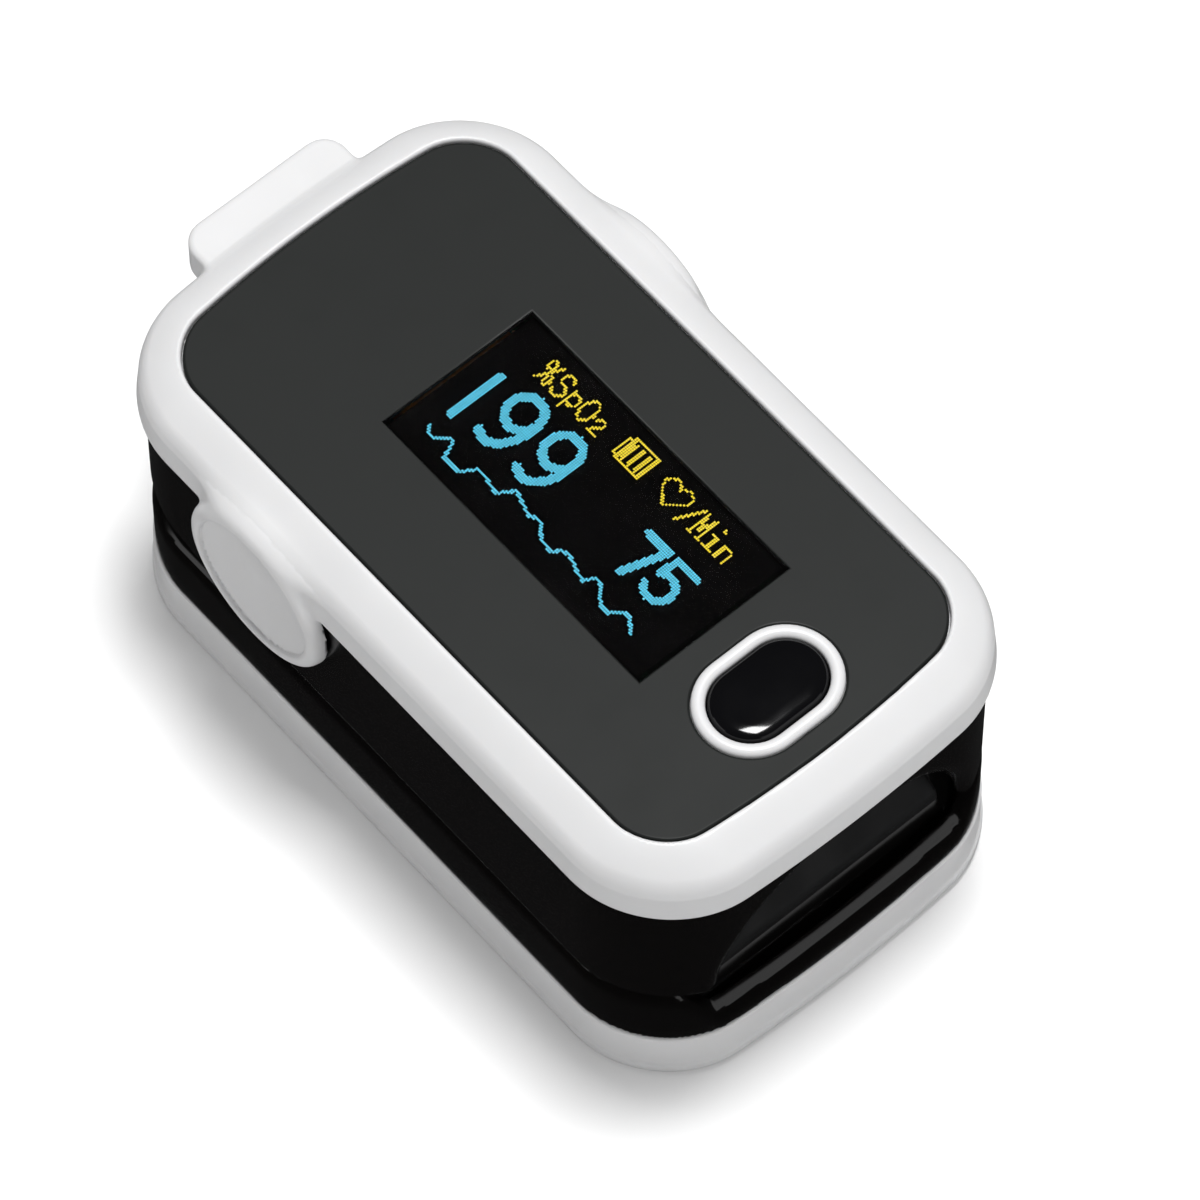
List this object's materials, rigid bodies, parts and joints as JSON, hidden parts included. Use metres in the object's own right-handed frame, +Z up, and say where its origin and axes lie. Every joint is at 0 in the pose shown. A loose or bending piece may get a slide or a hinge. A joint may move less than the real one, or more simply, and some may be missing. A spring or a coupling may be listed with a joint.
{
  "type": "fingertip pulse oximeter",
  "caption": "Clip-on fingertip pulse oximeter with two hinged jaws, a small display, a power button and a sliding battery door.",
  "frame": {"origin": "on the flat underside of the base, below the middle of the display panel", "axes": "+X across the width, +Y towards the squeeze tab at the rear (the finger enters at -Y), +Z up"},
  "size_m": [0.0384, 0.0654, 0.0301],
  "materials": {
    "white_shell": "satin white ABS",
    "black_shell": "glossy black ABS",
    "cell_sleeve": "printed sleeve with a bare metal contact",
    "plated_steel": "nickel plated",
    "circuit_board": "solder mask",
    "chip_resin": "moulded resin",
    "red_filter": "dark red filter",
    "silicone": "soft black silicone",
    "spring_steel": "drawn spring wire",
    "flex_film": "polyimide film",
    "screw_steel": "zinc plated",
    "panel_film": "satin charcoal",
    "screen_glass": "smoked clear window",
    "button_resin": "glossy black",
    "display_glass": "dark glass",
    "foam_tape": "closed-cell foam tape",
    "switch_metal": "stamped cover",
    "capacitor_ceramic": "sintered ceramic",
    "led_ceramic": "ceramic package",
    "clear_window": "clear moulded window",
    "pin_steel": "ground steel"
  },
  "bodies": {
    "lower_jaw": {"base_cover": "white_shell", "lower_case": "black_shell", "battery_left": "cell_sleeve", "battery_right": "cell_sleeve", "bridge_contact": "plated_steel", "positive_contact": "plated_steel", "negative_contact": "plated_steel", "front_contact_spring": "plated_steel", "rear_contact_spring": "plated_steel", "detector_board": "circuit_board", "photodiode": "chip_resin", "detector_window": "red_filter", "lower_finger_pad": "silicone", "torsion_spring_left": "spring_steel", "torsion_spring_right": "spring_steel", "sensor_cable": "flex_film", "base_screws": "screw_steel"},
    "upper_jaw": {"upper_case": "black_shell", "top_bezel": "white_shell", "display_panel": "panel_film", "screen_window": "screen_glass", "button_trim_ring": "white_shell", "main_board": "circuit_board", "display_module": "display_glass", "display_ribbon": "flex_film", "display_foam_pads": "foam_tape", "button_switch": "switch_metal", "controller_chip": "chip_resin", "amplifier_chip": "chip_resin", "board_capacitors": "capacitor_ceramic", "emitter_led": "led_ceramic", "emitter_window": "clear_window", "upper_finger_pad": "silicone", "hinge_pin_left": "pin_steel", "hinge_pin_right": "pin_steel", "upper_case_screws": "screw_steel"},
    "button": {"power_button": "button_resin"},
    "door": {"battery_door": "white_shell"}
  },
  "joints": [
    {"name": "jaw_hinge", "type": "hinge", "parent": "lower_jaw", "child": "upper_jaw", "pos_m": [0, 0.0116, 0.0211], "axis": [-1, 0, 0], "range_deg": [0, 12], "stiffness_Nm_per_rad": 0.12, "springref_deg": -14.32, "deforming": ["torsion_spring_left", "torsion_spring_right", "sensor_cable"]},
    {"name": "power_button_press", "type": "slide", "parent": "upper_jaw", "child": "button", "axis": [0, 0, -1], "range_m": [0, 0.0004], "stiffness_N_per_m": 2500},
    {"name": "battery_door_slide", "type": "slide", "parent": "lower_jaw", "child": "door", "axis": [0, 1, 0], "range_m": [0, 0.007]}
  ]
}
